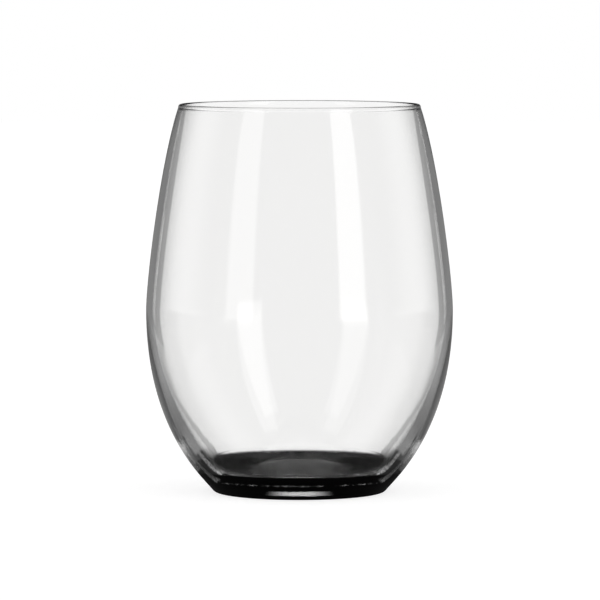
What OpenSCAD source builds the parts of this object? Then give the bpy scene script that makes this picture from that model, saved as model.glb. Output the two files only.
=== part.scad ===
// Stemless wine glass: a clear egg-shaped bowl fused onto a smoke tinted foot.
// The origin is the centre of the foot on the table, with +Z up through the mouth.

/* [Outline] */
// Height from the table to the top of the lip
overall_h = 114.3; // [100:0.1:130]
// Outside width across the lip
mouth_d = 71.3; // [60:0.1:80]
// Outside width of the belly, the widest part of the bowl
belly_d = 90.4; // [84:0.1:100]
// Height of the belly above the table
belly_h = 53.7; // [45:0.1:65]
// Inward lean of the wall at the lip, in degrees from upright
rim_lean = 18.4; // [8:0.1:26]

/* [Foot] */
// Width at which the line of the wall would meet the table
foot_d = 50.2; // [44:0.1:58]
// Height of the tinted foot, up to its seam with the clear bowl
foot_h = 3.5; // [2.5:0.1:6]
// Outward lean of the wall at the foot, in degrees from upright
foot_flare = 41.8; // [30:0.1:48]
// Radius of the rounded heel between the wall and the underside
heel_r = 1.6; // [1:0.1:3]
// Width of the flat ring that the glass stands on
ring_w = 3.3; // [2:0.1:8]
// Depth of the shallow punt inside that ring
punt_depth = 1; // [0.4:0.1:1.5]

/* [Glass thickness] */
// Wall just under the lip
rim_wall = 1.2; // [0.8:0.1:2]
// Wall at the belly
belly_wall = 1.8; // [1.2:0.1:2.6]
// Wall low down, where it runs into the foot
heel_wall = 4.5; // [3:0.1:6]
// Clear floor of the bowl, over the foot
floor_wall = 2.4; // [2:0.1:5]
// Swell of the fire-polished lip past the wall, on each side
lip_swell = 0.1; // [0:0.05:0.3]
// Half the height of the lip's oval, which gives its rounded top
lip_rise = 0.8; // [0.5:0.1:1.2]

/* [Inside corner] */
// Height above the inside floor at which the wall starts to round inwards
corner_rise = 2.5; // [2:0.1:8]
// Distance that the rounded corner reaches in over the floor
corner_run = 9; // [5:0.1:14]

/* [Hidden] */

// Lengths of the curve handles, as shares of the height of their curve
foot_pull_share = 0.312;
belly_low_pull_share = 0.297;
belly_high_pull_share = 0.141;
rim_pull_share = 0.264;
// How far the corner's handles reach towards the sharp corner
corner_pull_share = 0.6;
// Power of the change from the belly's wall to the lip's: a high one thins the wall only near the lip
thinning_power = 5;

// Counts of straight steps in each curve of the profile
wall_steps = 24;
lip_steps = 16;
corner_steps = 12;
heel_steps = 6;
punt_steps = 10;
solve_steps = 24;
$fn = 144;

// Foot: the wall runs down straight through the foot to the heel's arc
seam_r = foot_d / 2 + foot_h * tan(foot_flare);
heel_run = heel_r * tan((90 - foot_flare) / 2);
heel_centre = [foot_d / 2 - heel_run, heel_r];
punt_r = heel_centre.x - ring_w;
punt_sphere_r = (punt_r * punt_r + punt_depth * punt_depth) / (2 * punt_depth);

// Lip: an oval that leans with the wall, its top at the full height
lip_half = rim_wall / 2 + lip_swell;
lip_over = norm([lip_half * sin(rim_lean), lip_rise * cos(rim_lean)]);
lip_centre = [mouth_d / 2 - lip_half, overall_h - lip_over];
lip_start = acos(rim_wall / 2 / lip_half);
rim_end = lip_point(-lip_start);

// Outside of the wall, as one curve below the belly and one above it
belly_r = belly_d / 2;
low_h = belly_h - foot_h;
high_h = rim_end.y - belly_h;
low_curve = [
    [seam_r, foot_h],
    [seam_r + foot_pull_share * low_h * tan(foot_flare), foot_h + foot_pull_share * low_h],
    [belly_r, belly_h - belly_low_pull_share * low_h],
    [belly_r, belly_h]
];
high_curve = [
    [belly_r, belly_h],
    [belly_r, belly_h + belly_high_pull_share * high_h],
    [rim_end.x + rim_pull_share * high_h * tan(rim_lean), rim_end.y - rim_pull_share * high_h],
    rim_end
];

// Inside corner: from the knee on the wall to the edge of the flat floor
floor_h = foot_h + floor_wall;
knee_t = low_step_at(floor_h + corner_rise, 0, 1, solve_steps);
knee = low_inside(knee_t);
knee_way = knee - low_inside(knee_t + 1 / wall_steps);
sharp_corner = knee + knee_way * (floor_h - knee.y) / knee_way.y;
floor_r = sharp_corner.x - corner_run;
floor_edge = [floor_r, floor_h];
corner_curve = [
    knee,
    knee + corner_pull_share * (sharp_corner - knee),
    floor_edge + corner_pull_share * (sharp_corner - floor_edge),
    floor_edge
];

function bezier(p, t) =
    pow(1 - t, 3) * p[0] + 3 * pow(1 - t, 2) * t * p[1] + 3 * (1 - t) * pow(t, 2) * p[2] + pow(t, 3) * p[3];

function bezier_way(p, t) =
    pow(1 - t, 2) * (p[1] - p[0]) + 2 * (1 - t) * t * (p[2] - p[1]) + pow(t, 2) * (p[3] - p[2]);

// Unit vector to the left of a direction, which is into the glass on the way up the outside
function left_of(way) = [-way.y, way.x] / norm(way);

// Smooth change from 0 to 1 that starts and ends level
function ease(t) = 3 * pow(t, 2) - 2 * pow(t, 3);

function mix(a, b, share) = a + (b - a) * share;

function lip_point(angle) =
    lip_centre
    + lip_half * cos(angle) * [cos(rim_lean), sin(rim_lean)]
    + lip_rise * sin(angle) * [-sin(rim_lean), cos(rim_lean)];

// Inside of the wall: the outside curve moved inwards by a thickness that changes smoothly
function low_inside(t) =
    bezier(low_curve, t) + mix(heel_wall, belly_wall, ease(t)) * left_of(bezier_way(low_curve, t));

function high_inside(t) =
    bezier(high_curve, t)
    + mix(belly_wall, rim_wall, pow(t, thinning_power)) * left_of(bezier_way(high_curve, t));

// Step along the lower curve at which the inside has the given height, found by halving
function low_step_at(height, low, high, left) =
    left == 0 ? (low + high) / 2
    : low_inside((low + high) / 2).y < height ? low_step_at(height, (low + high) / 2, high, left - 1)
    : low_step_at(height, low, (low + high) / 2, left - 1);

// Points of the profile, from the foot's seam up the outside and down the inside
outside_points = concat(
    [for (i = [0 : wall_steps]) bezier(low_curve, i / wall_steps)],
    [for (i = [1 : wall_steps]) bezier(high_curve, i / wall_steps)]
);
lip_points = [for (i = [1 : lip_steps - 1]) lip_point(mix(-lip_start, 180 + lip_start, i / lip_steps))];
inside_points = concat(
    [for (i = [wall_steps : -1 : 0]) high_inside(i / wall_steps)],
    [for (i = [wall_steps - 1 : -1 : 0]) low_inside(mix(knee_t, 1, i / wall_steps))],
    [for (i = [1 : corner_steps]) bezier(corner_curve, i / corner_steps)],
    [[0, floor_h]]
);

// Capacity to the brim in millilitres, summed over the steps of the inside
cubic_mm_per_ml = 1000;
brim_volume = pi_sum(inside_points, 0) / cubic_mm_per_ml;

function pi_sum(p, i) =
    i == len(p) - 1 ? 0
    : PI / 3 * (p[i].y - p[i + 1].y) * (pow(p[i].x, 2) + p[i].x * p[i + 1].x + pow(p[i + 1].x, 2))
        + pi_sum(p, i + 1);

echo(brim_volume_ml = brim_volume, inside_floor_r = floor_r, punt_r = punt_r, seam_r = seam_r);

module clear_bowl() {
    color([0.93, 0.95, 0.95, 0.4])
        rotate_extrude()
            polygon(concat([[0, foot_h]], outside_points, lip_points, inside_points));
}

module smoke_foot() {
    punt_angle = asin(punt_r / punt_sphere_r);
    punt_points = [
        for (i = [0 : punt_steps])
            let (angle = punt_angle * i / punt_steps)
                [punt_sphere_r * sin(angle), punt_depth - punt_sphere_r * (1 - cos(angle))]
    ];
    heel_points = [
        for (i = [0 : heel_steps])
            let (angle = mix(-90, -foot_flare, i / heel_steps))
                heel_centre + heel_r * [cos(angle), sin(angle)]
    ];
    color([0.09, 0.09, 0.1])
        rotate_extrude()
            polygon(concat(punt_points, heel_points, [[seam_r, foot_h], [0, foot_h]]));
}

clear_bowl();
smoke_foot();
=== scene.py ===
# Stemless wine glass: a clear egg-shaped bowl on a smoke tinted foot, standing on white.
import math
import bpy
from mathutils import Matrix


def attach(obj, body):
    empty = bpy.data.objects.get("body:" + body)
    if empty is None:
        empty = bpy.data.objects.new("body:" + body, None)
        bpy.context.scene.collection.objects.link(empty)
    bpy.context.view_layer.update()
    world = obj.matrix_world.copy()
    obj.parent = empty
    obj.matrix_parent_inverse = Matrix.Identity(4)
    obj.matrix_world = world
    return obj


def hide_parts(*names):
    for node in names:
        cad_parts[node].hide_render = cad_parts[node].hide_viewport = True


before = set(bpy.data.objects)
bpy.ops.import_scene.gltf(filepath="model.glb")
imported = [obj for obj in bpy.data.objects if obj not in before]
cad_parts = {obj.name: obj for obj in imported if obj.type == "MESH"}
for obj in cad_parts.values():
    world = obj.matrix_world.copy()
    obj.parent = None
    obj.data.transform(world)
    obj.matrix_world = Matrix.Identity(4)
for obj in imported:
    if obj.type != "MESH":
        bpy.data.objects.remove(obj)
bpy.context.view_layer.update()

# The clear bowl
# Clear soda-lime glass, blown in a mould and turned round one axis. The wall is thin at the
# fire-polished lip and grows thick towards the floor, where it is fused to the tinted foot.
OVERALL_H = 0.1143
MOUTH_D = 0.0713
BELLY_D = 0.0904
BELLY_H = 0.0537
RIM_LEAN = math.radians(18.4)
FOOT_D = 0.0502
FOOT_H = 0.0035
FOOT_FLARE = math.radians(41.8)
RIM_WALL = 0.0012
BELLY_WALL = 0.0018
HEEL_WALL = 0.0045
FLOOR_WALL = 0.0024
LIP_SWELL = 0.0001
LIP_RISE = 0.0008
CORNER_RISE = 0.0025
CORNER_RUN = 0.009
FOOT_PULL_SHARE = 0.312
BELLY_LOW_PULL_SHARE = 0.297
BELLY_HIGH_PULL_SHARE = 0.141
RIM_PULL_SHARE = 0.264
CORNER_PULL_SHARE = 0.6
THINNING_POWER = 5
WALL_STEPS = 48
LIP_STEPS = 24
CORNER_STEPS = 30
TURNS = 240
WELD = 1e-7
CREASE = math.radians(25)
SEAM_TOLERANCE = 2e-5


def mix(a, b, share):
    return a + (b - a) * share


def ease(t):
    """Smooth change from 0 to 1 that starts and ends level."""
    return 3 * t**2 - 2 * t**3


def bezier(p, t):
    weights = ((1 - t)**3, 3 * (1 - t)**2 * t, 3 * (1 - t) * t**2, t**3)
    return tuple(sum(w * q[k] for w, q in zip(weights, p)) for k in (0, 1))


def inward(p, t, wall):
    """Point of a curve of the outside moved into the glass by the wall there."""
    weights = ((1 - t)**2, 2 * (1 - t) * t, t**2)
    way = [sum(w * (p[i + 1][k] - p[i][k]) for i, w in enumerate(weights)) for k in (0, 1)]
    place = bezier(p, t)
    reach = wall / math.hypot(*way)
    return place[0] - way[1] * reach, place[1] + way[0] * reach


def lip_point(angle):
    across = lip_half * math.cos(angle)
    up = LIP_RISE * math.sin(angle)
    return (
        lip_centre[0] + across * math.cos(RIM_LEAN) - up * math.sin(RIM_LEAN),
        lip_centre[1] + across * math.sin(RIM_LEAN) + up * math.cos(RIM_LEAN),
    )


def low_inside(t):
    return inward(low_curve, t, mix(HEEL_WALL, BELLY_WALL, ease(t)))


def high_inside(t):
    return inward(high_curve, t, mix(BELLY_WALL, RIM_WALL, t**THINNING_POWER))


def low_step_at(height):
    """Step along the lower curve at which the inside has the given height, found by halving."""
    low, high = 0.0, 1.0
    while high - low > WELD:
        middle = (low + high) / 2
        if low_inside(middle)[1] < height:
            low = middle
        else:
            high = middle
    return low


seam_r = FOOT_D / 2 + FOOT_H * math.tan(FOOT_FLARE)
lip_half = RIM_WALL / 2 + LIP_SWELL
lip_over = math.hypot(lip_half * math.sin(RIM_LEAN), LIP_RISE * math.cos(RIM_LEAN))
lip_centre = (MOUTH_D / 2 - lip_half, OVERALL_H - lip_over)
lip_start = math.acos(RIM_WALL / 2 / lip_half)
rim_end = lip_point(-lip_start)

low_h = BELLY_H - FOOT_H
high_h = rim_end[1] - BELLY_H
low_curve = (
    (seam_r, FOOT_H),
    (seam_r + FOOT_PULL_SHARE * low_h * math.tan(FOOT_FLARE), FOOT_H + FOOT_PULL_SHARE * low_h),
    (BELLY_D / 2, BELLY_H - BELLY_LOW_PULL_SHARE * low_h),
    (BELLY_D / 2, BELLY_H),
)
high_curve = (
    (BELLY_D / 2, BELLY_H),
    (BELLY_D / 2, BELLY_H + BELLY_HIGH_PULL_SHARE * high_h),
    (rim_end[0] + RIM_PULL_SHARE * high_h * math.tan(RIM_LEAN), rim_end[1] - RIM_PULL_SHARE * high_h),
    rim_end,
)

floor_h = FOOT_H + FLOOR_WALL
knee_t = low_step_at(floor_h + CORNER_RISE)
knee = low_inside(knee_t)
above_knee = low_inside(knee_t + 1 / WALL_STEPS)
knee_slope = (above_knee[0] - knee[0]) / (above_knee[1] - knee[1])
sharp_corner = (knee[0] - (knee[1] - floor_h) * knee_slope, floor_h)
floor_edge = (sharp_corner[0] - CORNER_RUN, floor_h)
corner_curve = (
    knee,
    tuple(mix(a, b, CORNER_PULL_SHARE) for a, b in zip(knee, sharp_corner)),
    tuple(mix(a, b, CORNER_PULL_SHARE) for a, b in zip(floor_edge, sharp_corner)),
    floor_edge,
)

bowl_profile = [(0, FOOT_H)]
bowl_profile += [bezier(low_curve, i / WALL_STEPS) for i in range(WALL_STEPS + 1)]
bowl_profile += [bezier(high_curve, i / WALL_STEPS) for i in range(1, WALL_STEPS + 1)]
bowl_profile += [
    lip_point(mix(-lip_start, math.pi + lip_start, i / LIP_STEPS)) for i in range(1, LIP_STEPS)
]
bowl_profile += [high_inside(i / WALL_STEPS) for i in range(WALL_STEPS, -1, -1)]
bowl_profile += [low_inside(mix(knee_t, 1, i / WALL_STEPS)) for i in range(WALL_STEPS - 1, -1, -1)]
bowl_profile += [bezier(corner_curve, i / CORNER_STEPS) for i in range(1, CORNER_STEPS + 1)]
bowl_profile += [(0, floor_h)]


def turning_tree():
    """Geometry Nodes tree that turns a profile, drawn from axis to axis in the XZ plane, about Z.

    It marks the faces of the fused seam with 0 in the attribute called contact, and all others with 1."""
    tree = bpy.data.node_groups.new("Turned glass", "GeometryNodeTree")
    tree.interface.new_socket("Geometry", in_out="OUTPUT", socket_type="NodeSocketGeometry")
    inputs = (
        ("Profile", "NodeSocketGeometry"),
        ("Turns", "NodeSocketInt"),
        ("Seam Height", "NodeSocketFloat"),
        ("Seam Tolerance", "NodeSocketFloat"),
        ("Weld", "NodeSocketFloat"),
        ("Crease", "NodeSocketFloat"),
        ("Glass", "NodeSocketMaterial"),
    )
    for name, kind in inputs:
        tree.interface.new_socket(name, in_out="INPUT", socket_type=kind)

    def node(kind, **settings):
        made = tree.nodes.new(kind)
        for key, value in settings.items():
            setattr(made, key, value)
        return made

    def join(source, target):
        tree.links.new(source, target)

    sizes = node("NodeGroupInput").outputs
    result = node("NodeGroupOutput")

    # A grid with a row for each point of the profile, and a column for each step round the axis and
    # one more, which closes it
    count = node("GeometryNodeAttributeDomainSize", component="MESH")
    join(sizes["Profile"], count.inputs["Geometry"])
    columns = node("FunctionNodeIntegerMath", operation="ADD")
    join(sizes["Turns"], columns.inputs[0])
    columns.inputs[1].default_value = 1
    grid = node("GeometryNodeMeshGrid")
    join(columns.outputs[0], grid.inputs["Vertices X"])
    join(count.outputs["Point Count"], grid.inputs["Vertices Y"])
    index = node("GeometryNodeInputIndex")
    row = node("FunctionNodeIntegerMath", operation="MODULO")
    column = node("FunctionNodeIntegerMath", operation="DIVIDE_FLOOR")
    for part in (row, column):
        join(index.outputs[0], part.inputs[0])
        join(count.outputs["Point Count"], part.inputs[1])

    # Each grid point takes its place on the profile, turned by its column's angle
    place = node("GeometryNodeInputPosition")
    on_profile = node("GeometryNodeSampleIndex", data_type="FLOAT_VECTOR", domain="POINT")
    join(sizes["Profile"], on_profile.inputs["Geometry"])
    join(place.outputs[0], on_profile.inputs["Value"])
    join(row.outputs[0], on_profile.inputs["Index"])
    turn_share = node("ShaderNodeMath", operation="DIVIDE")
    join(column.outputs[0], turn_share.inputs[0])
    join(sizes["Turns"], turn_share.inputs[1])
    angle = node("ShaderNodeMath", operation="MULTIPLY")
    join(turn_share.outputs[0], angle.inputs[0])
    angle.inputs[1].default_value = math.tau
    turned = node("ShaderNodeVectorRotate", rotation_type="Z_AXIS")
    join(on_profile.outputs["Value"], turned.inputs["Vector"])
    join(angle.outputs[0], turned.inputs["Angle"])
    moved = node("GeometryNodeSetPosition")
    join(grid.outputs["Mesh"], moved.inputs["Geometry"])
    join(turned.outputs[0], moved.inputs["Position"])
    welded = node("GeometryNodeMergeByDistance")
    join(moved.outputs[0], welded.inputs["Geometry"])
    join(sizes["Weld"], welded.inputs["Distance"])

    # Smooth all over, apart from the crease at the seam
    smooth = node("GeometryNodeSetShadeSmooth", domain="FACE")
    join(welded.outputs[0], smooth.inputs["Geometry"])
    edge_angle = node("GeometryNodeInputMeshEdgeAngle")
    sharp = node("FunctionNodeCompare", data_type="FLOAT", operation="GREATER_THAN")
    join(edge_angle.outputs["Unsigned Angle"], sharp.inputs["A"])
    join(sizes["Crease"], sharp.inputs["B"])
    creased = node("GeometryNodeSetShadeSmooth", domain="EDGE")
    join(smooth.outputs[0], creased.inputs["Geometry"])
    join(sharp.outputs[0], creased.inputs["Selection"])
    creased.inputs["Shade Smooth"].default_value = False

    # Mark of the fused seam
    parts = node("ShaderNodeSeparateXYZ")
    join(place.outputs[0], parts.inputs[0])
    off_seam = node("ShaderNodeMath", operation="SUBTRACT")
    join(parts.outputs["Z"], off_seam.inputs[0])
    join(sizes["Seam Height"], off_seam.inputs[1])
    distance = node("ShaderNodeMath", operation="ABSOLUTE")
    join(off_seam.outputs[0], distance.inputs[0])
    outside_seam = node("ShaderNodeMath", operation="GREATER_THAN")
    join(distance.outputs[0], outside_seam.inputs[0])
    join(sizes["Seam Tolerance"], outside_seam.inputs[1])
    marked = node("GeometryNodeStoreNamedAttribute", data_type="FLOAT", domain="FACE")
    join(creased.outputs[0], marked.inputs["Geometry"])
    marked.inputs["Name"].default_value = "contact"
    join(outside_seam.outputs[0], marked.inputs["Value"])

    real = node("GeometryNodeRealizeInstances")
    join(marked.outputs[0], real.inputs[0])
    dressed = node("GeometryNodeSetMaterial")
    join(real.outputs[0], dressed.inputs["Geometry"])
    join(sizes["Glass"], dressed.inputs["Material"])
    join(dressed.outputs[0], result.inputs[0])
    return tree


def turned_piece(name, profile, seam_height, material):
    """Turns a profile into a plain closed mesh, in its place."""
    line = bpy.data.meshes.new(name + "_profile")
    line.from_pydata([(r, 0, z) for r, z in profile], [(i, i + 1) for i in range(len(profile) - 1)], [])
    blank = bpy.data.objects.new(name + "_blank", line)
    bpy.context.scene.collection.objects.link(blank)
    turning = blank.modifiers.new("Turning", "NODES")
    turning.node_group = turned_glass
    sizes = {
        "Turns": TURNS,
        "Seam Height": seam_height,
        "Seam Tolerance": SEAM_TOLERANCE,
        "Weld": WELD,
        "Crease": CREASE,
        "Glass": material,
    }
    for socket in turned_glass.interface.items_tree:
        if socket.in_out == "INPUT" and socket.name in sizes:
            turning[socket.identifier] = sizes[socket.name]
    seen = blank.evaluated_get(bpy.context.evaluated_depsgraph_get())
    mesh = bpy.data.meshes.new_from_object(seen)
    mesh.name = name
    piece = bpy.data.objects.new(name, mesh)
    bpy.context.scene.collection.objects.link(piece)
    bpy.data.objects.remove(blank)
    return piece


class ShaderTree:
    """A shader node tree, with a short call for each kind of node that is used most.

    A value is a number or the output of another node. A call gives back what its new node puts out."""

    def __init__(self, tree):
        self.nodes = tree.nodes
        self.join = tree.links.new

    def add(self, kind, **settings):
        made = self.nodes.new(kind)
        for key, value in settings.items():
            setattr(made, key, value)
        return made

    def fill(self, socket, value):
        if isinstance(value, (int, float)):
            socket.default_value = value
        else:
            self.join(value, socket)

    def math(self, operation, *values):
        made = self.add("ShaderNodeMath", operation=operation)
        for socket, value in zip(made.inputs, values):
            self.fill(socket, value)
        return made.outputs[0]

    def plus(self, first, *others):
        for other in others:
            first = self.math("ADD", first, other)
        return first

    def minus(self, first, second):
        return self.math("SUBTRACT", first, second)

    def times(self, first, *others):
        for other in others:
            first = self.math("MULTIPLY", first, other)
        return first

    def times_plus(self, value, factor, added):
        return self.math("MULTIPLY_ADD", value, factor, added)

    def unsigned(self, value):
        return self.math("ABSOLUTE", value)

    def step(self, value, start, end, shape="SMOOTHSTEP"):
        """0 up to the start and 1 from the end on."""
        made = self.add("ShaderNodeMapRange", interpolation_type=shape)
        for name, number in (("Value", value), ("From Min", start), ("From Max", end)):
            self.fill(made.inputs[name], number)
        return made.outputs[0]

    def rise(self, value, start, width):
        """From 0 to 1 in a width that begins at the start. Both are plain numbers."""
        return self.step(value, start, start + width)

    def fall(self, value, start, width):
        return self.minus(1, self.rise(value, start, width))

    def band(self, value, start, end, edge):
        return self.times(self.rise(value, start, edge), self.fall(value, end, edge))

    def between(self, share, first, second):
        """Goes from the first value to the second as the share goes from 0 to 1."""
        made = self.add("ShaderNodeMix", data_type="FLOAT")
        for name, value in (("Factor", share), ("A", first), ("B", second)):
            self.fill(made.inputs[name], value)
        return made.outputs[0]

    def noise(self, place, scale, detail):
        made = self.add("ShaderNodeTexNoise")
        made.inputs["Scale"].default_value = scale
        made.inputs["Detail"].default_value = detail
        self.join(place, made.inputs["Vector"])
        return made.outputs[0]

    def parts(self, place):
        made = self.add("ShaderNodeSeparateXYZ")
        self.join(place, made.inputs[0])
        return made.outputs["X"], made.outputs["Y"], made.outputs["Z"]

    def place(self, x, y, z=0):
        made = self.add("ShaderNodeCombineXYZ")
        for socket, value in zip(made.inputs, (x, y, z)):
            self.fill(socket, value)
        return made.outputs[0]

    def length(self, place):
        made = self.add("ShaderNodeVectorMath", operation="LENGTH")
        self.join(place, made.inputs[0])
        return made.outputs["Value"]


# Values of the skin that both glasses share
SKIN_SIZES = (
    "Ripples", "Ripple Depth", "Wander Depth", "Low Height", "High Height",
    "Scuff", "Worn Height", "Worn Reach", "Wear",
)
RIPPLE_LENGTHS_PER_M = 90
RIPPLES_FROM_R = 0.01
RIPPLES_EDGE = 0.006
WANDERS_PER_M = 45
SCUFFS_PER_M = 900
SCUFF_FROM = 0.6
SCUFF_TO = 0.8
WORN_EDGE = 0.0012
WORN_DEPTH = 0.00005
PATCH_SWING = 0.6
PATCH_LEAST = 0.7


def skin_group():
    """Shader group for the skin of worked glass: mould ripples, a soft wander, scuffs and a worn floor.

    It puts out the height for a Bump node, in metres, and the roughness."""
    group = bpy.data.node_groups.new("Worked glass skin", "ShaderNodeTree")
    for name in SKIN_SIZES:
        group.interface.new_socket(name, in_out="INPUT", socket_type="NodeSocketFloat")
    for name in ("Height", "Roughness"):
        group.interface.new_socket(name, in_out="OUTPUT", socket_type="NodeSocketFloat")
    skin = ShaderTree(group)
    sizes = skin.add("NodeGroupInput").outputs
    result = skin.add("NodeGroupOutput").inputs
    place = skin.add("ShaderNodeTexCoord").outputs["Object"]
    x, y, height = skin.parts(place)

    # The ripples depend on the direction from the axis, so they run up the wall and close round it
    from_axis = skin.length(skin.place(x, y))
    spread = skin.math("DIVIDE", sizes["Ripples"], from_axis)
    on_ring = skin.place(
        skin.times(x, spread), skin.times(y, spread), skin.times(height, RIPPLE_LENGTHS_PER_M)
    )
    ripple = skin.noise(on_ring, scale=1, detail=2)

    # They die out up the wall, and towards the axis, where they would all meet
    low_down = skin.minus(1, skin.step(height, sizes["Low Height"], sizes["High Height"]))
    off_axis = skin.rise(from_axis, RIPPLES_FROM_R, RIPPLES_EDGE)
    ripple_height = skin.times(ripple, sizes["Ripple Depth"], low_down, off_axis)

    # The wander is the soft waviness of blown glass, a few to the height of the bowl
    wander = skin.noise(place, WANDERS_PER_M, detail=1)
    skin.join(skin.times_plus(wander, sizes["Wander Depth"], ripple_height), result["Height"])

    # Faint scuffs from use, mostly low down
    scuff = skin.noise(place, SCUFFS_PER_M, detail=4)
    scuffed = skin.times(skin.step(scuff, SCUFF_FROM, SCUFF_TO, "LINEAR"), sizes["Scuff"], low_down)

    # The flat of the floor is dulled by washing and stirring, in patches
    worn_from = skin.plus(sizes["Worn Reach"], -WORN_EDGE)
    inside_edge = skin.minus(1, skin.step(from_axis, worn_from, sizes["Worn Reach"]))
    off_floor = skin.unsigned(skin.minus(height, sizes["Worn Height"]))
    on_floor = skin.math("LESS_THAN", off_floor, WORN_DEPTH)
    patchy = skin.times_plus(scuff, PATCH_SWING, PATCH_LEAST)
    dulled = skin.times(inside_edge, on_floor, patchy, sizes["Wear"])
    skin.join(skin.plus(scuffed, dulled), result["Roughness"])
    return group


GLASS_IOR = 1.52


def glass(name, tint, skin_sizes):
    """Polished glass with a worked skin, clear through the fused seam. A skin size left out is 0."""
    material = bpy.data.materials.new(name)
    material.use_nodes = True
    tree = ShaderTree(material.node_tree)
    shader = tree.nodes["Principled BSDF"].inputs
    shader["Base Color"].default_value = (*tint, 1)
    shader["Transmission Weight"].default_value = 1
    shader["Metallic"].default_value = 0
    shader["IOR"].default_value = GLASS_IOR
    skin = tree.add("ShaderNodeGroup", node_tree=worked_skin)
    for key, value in skin_sizes.items():
        skin.inputs[key].default_value = value
    bump = tree.add("ShaderNodeBump")
    bump.inputs["Strength"].default_value = 1
    bump.inputs["Distance"].default_value = 1
    tree.join(skin.outputs["Height"], bump.inputs["Height"])
    tree.join(bump.outputs[0], shader["Normal"])
    tree.join(skin.outputs["Roughness"], shader["Roughness"])
    contact = tree.add("ShaderNodeAttribute", attribute_name="contact")
    tree.join(contact.outputs["Fac"], shader["Alpha"])
    return material


turned_glass = turning_tree()
worked_skin = skin_group()
CLEAR_TINT = (1.0, 0.999, 0.996)
clear_glass = glass("Clear soda-lime glass", CLEAR_TINT, {
    "Ripples": 26,
    "Ripple Depth": 9e-6,
    "Wander Depth": 4e-6,
    "Low Height": 0.012,
    "High Height": 0.036,
    "Scuff": 0.03,
    "Worn Height": floor_h,
    "Worn Reach": floor_edge[0],
    "Wear": 0.13,
})
clear_bowl = turned_piece("clear_bowl_glass", bowl_profile, FOOT_H, clear_glass)
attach(clear_bowl, "root")
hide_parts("clear_bowl")

# The smoke foot
# A low disc of glass tinted nearly black, fused to the underside of the bowl. It stands on a
# flat ring with a rounded heel outside it and a shallow punt inside it.
HEEL_R = 0.0016
RING_W = 0.0033
PUNT_DEPTH = 0.001
HEEL_STEPS = 12
PUNT_STEPS = 16
# The two fused faces are held this far apart, so that no light ray finds both at once
SEAM_GAP = 4e-6
# The tint is in the depth of the glass, and its surface is clear
SURFACE_TINT = (1, 1, 1)
SMOKE = (0.3, 0.3, 0.3, 1)
SMOKE_DENSITY = 1500

heel_run = HEEL_R * math.tan((math.pi / 2 - FOOT_FLARE) / 2)
heel_centre = (FOOT_D / 2 - heel_run, HEEL_R)
punt_r = heel_centre[0] - RING_W
punt_sphere_r = (punt_r**2 + PUNT_DEPTH**2) / (2 * PUNT_DEPTH)
punt_angle = math.asin(punt_r / punt_sphere_r)
foot_profile = []
for i in range(PUNT_STEPS + 1):
    angle = punt_angle * i / PUNT_STEPS
    drop = punt_sphere_r * (1 - math.cos(angle))
    foot_profile.append((punt_sphere_r * math.sin(angle), PUNT_DEPTH - drop))
for i in range(HEEL_STEPS + 1):
    angle = mix(-math.pi / 2, -FOOT_FLARE, i / HEEL_STEPS)
    heel_point = (heel_centre[0] + HEEL_R * math.cos(angle), heel_centre[1] + HEEL_R * math.sin(angle))
    foot_profile.append(heel_point)
foot_top = FOOT_H - SEAM_GAP
foot_profile += [(seam_r, foot_top), (0, foot_top)]

smoke_glass = glass("Smoke tinted glass", SURFACE_TINT, {
    "Ripples": 30,
    "Ripple Depth": 3e-6,
    "Wander Depth": 4e-6,
    "Low Height": 0.012,
    "High Height": 0.045,
    "Scuff": 0.05,
})
absorption = smoke_glass.node_tree.nodes.new("ShaderNodeVolumeAbsorption")
absorption.inputs["Color"].default_value = SMOKE
absorption.inputs["Density"].default_value = SMOKE_DENSITY
output = smoke_glass.node_tree.nodes["Material Output"]
smoke_glass.node_tree.links.new(absorption.outputs[0], output.inputs["Volume"])
smoke_foot = turned_piece("smoke_foot_glass", foot_profile, foot_top, smoke_glass)
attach(smoke_foot, "root")
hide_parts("smoke_foot")

# The white table
# A plain white sheet under the glass. Seen straight it is white, with the glass's soft shadow.
# Seen through the glass or mirrored in it, it glows white or grey like the room, dark close by with the
# foot's painted shade, and with painted light that the glass mirrors.
TABLE_SIZE = 6
TABLE_DROP = 2e-5
TABLE_TONE = 0.4
TABLE_GLOW = 0.8
DEGREES = 180 / math.pi
QUARTER_TURN = 90


def turn_to(tree, x, y):
    """Direction round the glass in degrees: 0 straight behind it, 180 at the camera, plus on the right."""
    return tree.times(tree.math("ARCTAN2", x, y), DEGREES)


class Spot:
    """A place on the table, as outputs of its shader tree."""

    def __init__(self, tree):
        self.place = tree.add("ShaderNodeTexCoord").outputs["Object"]
        x, self.depth, _ = tree.parts(self.place)
        self.side = tree.unsigned(x)
        self.reach = tree.length(self.place)
        self.turn = turn_to(tree, x, self.depth)
        self.away = tree.unsigned(self.turn)


# All round stands a ring of white panels, each with a grey edge and a lighter gap to the next. They are
# seen through the glass. Their angles are in degrees from the middle of a panel.
PANEL_TURN = 22.5
PANEL_HALF_WIDTH = 9
PANEL_EDGE = 0.7
PANEL_WHITE = 1.0
PANEL_GREY = 0.5
GAP_LIGHT = 1.15


def panels(tree, past_panel, past_grey, grey, light):
    """White on a panel, grey past its edge and light past the grey."""
    return tree.between(past_panel, PANEL_WHITE, tree.between(past_grey, grey, light))


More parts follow.
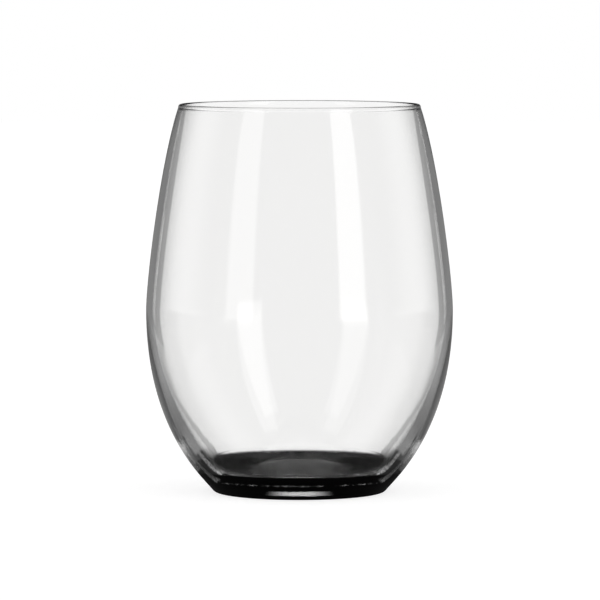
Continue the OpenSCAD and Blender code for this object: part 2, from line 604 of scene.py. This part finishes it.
# The panels are laid out on the table too. Near the glass they are one sheet from front to back that
# narrows towards the foot, and its edges grow softer and then sharp again on the way out.
SHEET_HALF_WIDTH = 0.045
NEAR_R = 0.22
NEAR_HALF_WIDTH = 0.0117
NEAR_SPREAD = 0.585
GREY_WIDTH = 0.007
GREY_SPREAD = 0.085
SOFTNESS_SPREAD = 0.13
SOFTNESS_DROP = 0.004
SOFTNESS_LEAST = 0.002
SHARPENING = 0.25
NEAR_GREY = 0.58
NEAR_GREY_END = 0.66
NEAR_GREY_FROM = 0.1
NEAR_GREY_FADE = 0.08
GAP_LIGHT_FROM = 0.25
GAP_LIGHT_FADE = 0.25
# The shade of the foot, which reaches farther out at the two sides
SHADE_R = 0.0332
SHADE_EDGE = 0.0052
SIDE_SHADE_R = 0.036
SIDE_SHADE_EDGE = 0.012
SIDE_SHADE_FROM = 0.024
SIDE_SHADE_FADE = 0.006


def seen_through(tree, spot):
    """Brightness of the table seen through the glass."""
    near = tree.math("LESS_THAN", spot.reach, NEAR_R)
    fold = tree.times_plus(near, QUARTER_TURN - PANEL_TURN, PANEL_TURN)
    off = tree.math("DIVIDE", tree.math("PINGPONG", spot.turn, fold), DEGREES)
    along = tree.times(tree.math("COSINE", off), spot.reach)
    aside = tree.times(tree.math("SINE", off), spot.reach)
    half_width = tree.math(
        "MINIMUM",
        tree.times_plus(along, math.tan(PANEL_HALF_WIDTH / DEGREES), SHEET_HALF_WIDTH),
        tree.times_plus(along, NEAR_SPREAD, NEAR_HALF_WIDTH),
    )
    past_sheet = tree.minus(aside, half_width)
    past_grey = tree.minus(past_sheet, tree.times_plus(along, GREY_SPREAD, GREY_WIDTH))

    far_softness = tree.times(spot.reach, PANEL_EDGE / DEGREES)
    softness = tree.times_plus(spot.reach, SOFTNESS_SPREAD, -SOFTNESS_DROP)
    softness = tree.math("MAXIMUM", softness, SOFTNESS_LEAST)
    sharper = tree.plus(tree.times_plus(spot.reach, -SHARPENING, NEAR_R * SHARPENING), far_softness)
    softness = tree.times(tree.math("MINIMUM", softness, sharper), near)
    softness = tree.math("MAXIMUM", softness, far_softness)

    near_grey = tree.between(
        tree.rise(spot.reach, NEAR_GREY_FROM, NEAR_GREY_FADE), NEAR_GREY, NEAR_GREY_END
    )
    grey = tree.between(near, PANEL_GREY, near_grey)
    light = tree.between(tree.rise(spot.reach, GAP_LIGHT_FROM, GAP_LIGHT_FADE), PANEL_WHITE, GAP_LIGHT)
    seen = panels(
        tree, tree.step(past_sheet, 0, softness), tree.step(past_grey, 0, softness), grey, light
    )
    in_middle = tree.fall(spot.side, SIDE_SHADE_FROM, SIDE_SHADE_FADE)
    past_side_shade = tree.rise(spot.reach, SIDE_SHADE_R, SIDE_SHADE_EDGE)
    lit_side = tree.math("MAXIMUM", in_middle, past_side_shade)
    return tree.times(seen, tree.rise(spot.reach, SHADE_R, SHADE_EDGE), lit_side)


# What the glass mirrors of the table is painted nearly black close by, as the foot's shade, and grey
# farther off, with a painted glow behind
NEAR_SHADE = 0.022
FAR_GREY = 0.22
NEAR_SHADE_R = 0.052
NEAR_SHADE_EDGE = 0.008
GLOW = 0.17
GLOW_FROM = 0.05
GLOW_RISE = 0.07
GLOW_TO = 0.12
GLOW_FALL = 0.33
GLOW_TURN = 50


def mirrored_grey_shade_and_glow(tree, spot):
    grey = tree.between(tree.rise(spot.reach, NEAR_SHADE_R, NEAR_SHADE_EDGE), NEAR_SHADE, FAR_GREY)
    ring = tree.times(
        tree.rise(spot.reach, GLOW_FROM, GLOW_RISE), tree.fall(spot.reach, GLOW_TO, GLOW_FALL)
    )
    glow = tree.times(ring, tree.fall(spot.away, GLOW_TURN, GLOW_TURN), GLOW)
    return tree.plus(grey, glow)


# A wedge of light lies in the dark on each side of the foot
WEDGE_FROM = 0.0328
WEDGE_EDGE = 0.003
WEDGE_LEAN = 0.5
WEDGE_R = 0.0403
WEDGE_R_EDGE = 0.002
WEDGE_LIGHT = 0.24


def wedge(tree, spot):
    across = tree.times_plus(spot.depth, -WEDGE_LEAN, spot.side)
    ring = tree.times(
        tree.rise(spot.reach, WEDGE_R, WEDGE_R_EDGE), tree.fall(spot.reach, NEAR_SHADE_R, NEAR_SHADE_EDGE)
    )
    return tree.times(tree.rise(across, WEDGE_FROM, WEDGE_EDGE), ring, WEDGE_LIGHT)


# Between each wedge and the foot a narrow streak of light in broken dashes, brighter at its inner end
STREAK_SIDE_SHARE = 0.775
STREAK_DEPTH_SHARE = -0.634
STREAK_FROM = 0.0272
STREAK_TO = 0.0298
STREAK_EDGE = 0.0008
STREAK_SIDE = 0.0268
STREAK_SIDE_EDGE = 0.0015
STREAK_LIGHT = 0.25
STREAK_END_LIGHT = 0.8
STREAK_END_R = 0.028
STREAK_END_EDGE = 0.006
DASHES_PER_M = 900
DASH_FROM = 0.3
DASH_EDGE = 0.3


def streak(tree, spot):
    across = tree.times_plus(
        spot.side, STREAK_SIDE_SHARE, tree.times(spot.depth, STREAK_DEPTH_SHARE)
    )
    inner_end = tree.fall(spot.reach, STREAK_END_R, STREAK_END_EDGE)
    dashes = tree.noise(spot.place, DASHES_PER_M, detail=2)
    return tree.times(
        tree.band(across, STREAK_FROM, STREAK_TO, STREAK_EDGE),
        tree.rise(spot.side, STREAK_SIDE, STREAK_SIDE_EDGE),
        tree.fall(spot.reach, WEDGE_R, WEDGE_R_EDGE),
        tree.between(inner_end, STREAK_LIGHT, STREAK_END_LIGHT),
        tree.rise(dashes, DASH_FROM, DASH_EDGE),
    )


# The room that the glass mirrors is grey and lighter on the two sides, and so is the table far out
ROOM_GREY = 0.2
ROOM_LIGHT = 0.84
FLAG_TO = 50
FLAG_EDGE = 25
SIDE_FROM = 80
SIDE_EDGE = 30
SIDE_LIGHT_R = 0.5
SIDE_LIGHT_EDGE = 2.5


def beside(tree, away):
    """1 towards the two sides of the glass, by the angle from straight behind it."""
    return tree.times(tree.rise(away, FLAG_TO, FLAG_EDGE), tree.fall(away, SIDE_FROM, SIDE_EDGE))


def side_light(tree, spot):
    far_out = tree.rise(spot.reach, SIDE_LIGHT_R, SIDE_LIGHT_EDGE)
    return tree.times(beside(tree, spot.away), far_out, ROOM_LIGHT - ROOM_GREY)


# Two tall soft lights stand in front, left and right of the camera. They run on down over the table.
LIGHT_LEFT = 0.9
LIGHT_RIGHT = 1.5
LEFT_FROM = 121
LEFT_TO = 143
RIGHT_FROM = 127
RIGHT_TO = 148
LIGHT_EDGE = 3
STRIP_FROM = 0.25
STRIP_EDGE = 1


def tall_lights(tree, turn):
    """Brightness of the two tall lights in a direction round the glass."""
    right = tree.band(turn, RIGHT_FROM, RIGHT_TO, LIGHT_EDGE)
    left = tree.band(tree.times(turn, -1), LEFT_FROM, LEFT_TO, LIGHT_EDGE)
    return tree.times_plus(right, LIGHT_RIGHT, tree.times(left, LIGHT_LEFT))


def strips(tree, spot):
    return tree.times(tall_lights(tree, spot.turn), tree.rise(spot.reach, STRIP_FROM, STRIP_EDGE))


# The foot mirrors a short glint and a long thin line of light in specks, both painted on the table in
# front and behind
GLINT = 8.5
GLINT_R = 0.0269
GLINT_HALF_DEPTH = 0.0004
GLINT_HALF_WIDTH = 0.002
GLINT_EDGE = 0.009
LINE = 2
LINE_R = 0.0293
LINE_HALF_DEPTH = 0.00015
LINE_HALF_WIDTH = 0.018
LINE_EDGE = 0.01
SPECKS_PER_M = 350
SPECK_FROM = 0.42
SPECK_EDGE = 0.3


def arc(tree, spot, radius, half_depth, half_width, edge):
    """Part of a thin ring round the foot, in front and behind."""
    off_ring = tree.unsigned(tree.minus(spot.reach, radius))
    return tree.times(
        tree.fall(off_ring, half_depth, half_depth), tree.fall(spot.side, half_width, edge)
    )


def glint_and_line(tree, spot):
    glint = arc(tree, spot, GLINT_R, GLINT_HALF_DEPTH, GLINT_HALF_WIDTH, GLINT_EDGE)
    line = arc(tree, spot, LINE_R, LINE_HALF_DEPTH, LINE_HALF_WIDTH, LINE_EDGE)
    specks = tree.rise(tree.noise(spot.place, SPECKS_PER_M, detail=2), SPECK_FROM, SPECK_EDGE)
    return tree.times_plus(glint, GLINT, tree.times(line, specks, LINE))


half = TABLE_SIZE / 2
table_mesh = bpy.data.meshes.new("table")
corners = [(-half, -half), (half, -half), (half, half), (-half, half)]
table_mesh.from_pydata([(x, y, -TABLE_DROP) for x, y in corners], [], [(0, 1, 2, 3)])
table = bpy.data.objects.new("table", table_mesh)
bpy.context.scene.collection.objects.link(table)
sheet = bpy.data.materials.new("White table")
sheet.use_nodes = True
tree = ShaderTree(sheet.node_tree)
tree.nodes.clear()
spot = Spot(tree)
mirrored = mirrored_grey_shade_and_glow(tree, spot)
for light in (wedge, streak, side_light, strips, glint_and_line):
    mirrored = tree.plus(mirrored, light(tree, spot))
# The camera sees a plain lit white sheet; rays through or mirrored in the glass see the painted light and
# painted shade above instead, and other bounces see no glow
path = tree.add("ShaderNodeLightPath").outputs
is_mirrored = tree.math("MINIMUM", path["Glossy Depth"], 1)
tone = tree.between(is_mirrored, seen_through(tree, spot), mirrored)
dim = tree.add("ShaderNodeEmission")
tree.join(tree.times(tone, tree.minus(1, path["Is Diffuse Ray"])), dim.inputs["Strength"])
paint = tree.add("ShaderNodeBsdfDiffuse")
paint.inputs["Color"].default_value = (TABLE_TONE, TABLE_TONE, TABLE_TONE, 1)
glow = tree.add("ShaderNodeEmission")
glow.inputs["Strength"].default_value = TABLE_GLOW
lit = tree.add("ShaderNodeAddShader")
tree.join(paint.outputs[0], lit.inputs[0])
tree.join(glow.outputs[0], lit.inputs[1])
either = tree.add("ShaderNodeMixShader")
tree.join(path["Is Camera Ray"], either.inputs[0])
tree.join(dim.outputs[0], either.inputs[1])
tree.join(lit.outputs[0], either.inputs[2])
tree.join(either.outputs[0], tree.add("ShaderNodeOutputMaterial").inputs["Surface"])
table_mesh.materials.append(sheet)

# The studio round the glass
# The white panels stand all round, with grey between them. What the glass mirrors is a grey room,
# darker higher up behind, light on both sides, with the two tall lights in front and one overhead.
GAP_LIGHT_TURN = 15.3
GAP_LIGHT_EDGE = 2
LIGHT_LOW_EL = -8
LIGHT_HIGH_EL = 50
OVERHEAD = 1.2
OVERHEAD_EL = 60
OVERHEAD_EDGE = 15
DIP = 0.19
DIP_LOW_EL = 1
DIP_HIGH_EL = 55
DIP_EL_EDGE = 4
DIP_LEAN = 0.2
DIP_TURN = 40
DIP_EDGE = 20
WHITE = (1, 1, 1, 1)

world = bpy.data.worlds.new("Studio")
bpy.context.scene.world = world
world.use_nodes = True
tree = ShaderTree(world.node_tree)
tree.nodes.clear()
x, y, z = tree.parts(tree.add("ShaderNodeTexCoord").outputs["Generated"])
azimuth = turn_to(tree, x, y)
away = tree.unsigned(azimuth)
elevation = tree.times(tree.math("ARCSINE", z), DEGREES)
grey = tree.between(beside(tree, away), ROOM_GREY, ROOM_LIGHT)
dip_el = tree.times_plus(away, -DIP_LEAN, elevation)
dip = tree.times(
    tree.band(dip_el, DIP_LOW_EL, DIP_HIGH_EL, DIP_EL_EDGE), tree.fall(away, DIP_TURN, DIP_EDGE)
)
tall = tree.times(
    tall_lights(tree, azimuth), tree.band(elevation, LIGHT_LOW_EL, LIGHT_HIGH_EL, LIGHT_EDGE)
)
overhead = tree.rise(elevation, OVERHEAD_EL, OVERHEAD_EDGE)
room = tree.plus(tree.times_plus(dip, -DIP, grey), tree.times_plus(overhead, OVERHEAD, tall))

off_panel = tree.math("PINGPONG", azimuth, PANEL_TURN)
past_panel = tree.rise(off_panel, PANEL_HALF_WIDTH, PANEL_EDGE)
past_grey = tree.rise(off_panel, GAP_LIGHT_TURN, GAP_LIGHT_EDGE)
behind = panels(tree, past_panel, past_grey, PANEL_GREY, GAP_LIGHT)
path = tree.add("ShaderNodeLightPath").outputs
is_mirrored = tree.math("MINIMUM", path["Glossy Depth"], 1)
sees_room = tree.math("MAXIMUM", is_mirrored, path["Is Diffuse Ray"])
unseen = tree.between(sees_room, behind, room)
sky = tree.add("ShaderNodeBackground")
sky.inputs["Color"].default_value = WHITE
tree.join(tree.between(path["Is Camera Ray"], unseen, 1), sky.inputs["Strength"])
tree.join(sky.outputs[0], tree.add("ShaderNodeOutputWorld").inputs["Surface"])

# The camera
# A long lens a metre and a half in front, a little above the lip's height, aimed at the middle of
# the glass. It is shifted half a pixel sideways in a picture of 600.
CAMERA_AT = (0, -1.490, 0.163)
AIM_H = 0.05657
LENS = 304.2
SENSOR = 36
SHIFT_PIXELS = 0.5
PICTURE_WIDTH = 600
NEAREST = 0.01
BOUNCES = 32
MIRROR_BOUNCES = 16
lens = bpy.data.cameras.new("camera")
camera = bpy.data.objects.new("camera", lens)
bpy.context.scene.collection.objects.link(camera)
camera.location = CAMERA_AT
camera.rotation_euler = (math.pi / 2 - math.atan2(CAMERA_AT[2] - AIM_H, -CAMERA_AT[1]), 0, 0)
lens.lens = LENS
lens.sensor_width = SENSOR
lens.shift_x = SHIFT_PIXELS / PICTURE_WIDTH
lens.clip_start = NEAREST
scene = bpy.context.scene
scene.camera = camera
scene.view_settings.view_transform = "Standard"
scene.cycles.max_bounces = BOUNCES
scene.cycles.transmission_bounces = BOUNCES
scene.cycles.glossy_bounces = MIRROR_BOUNCES
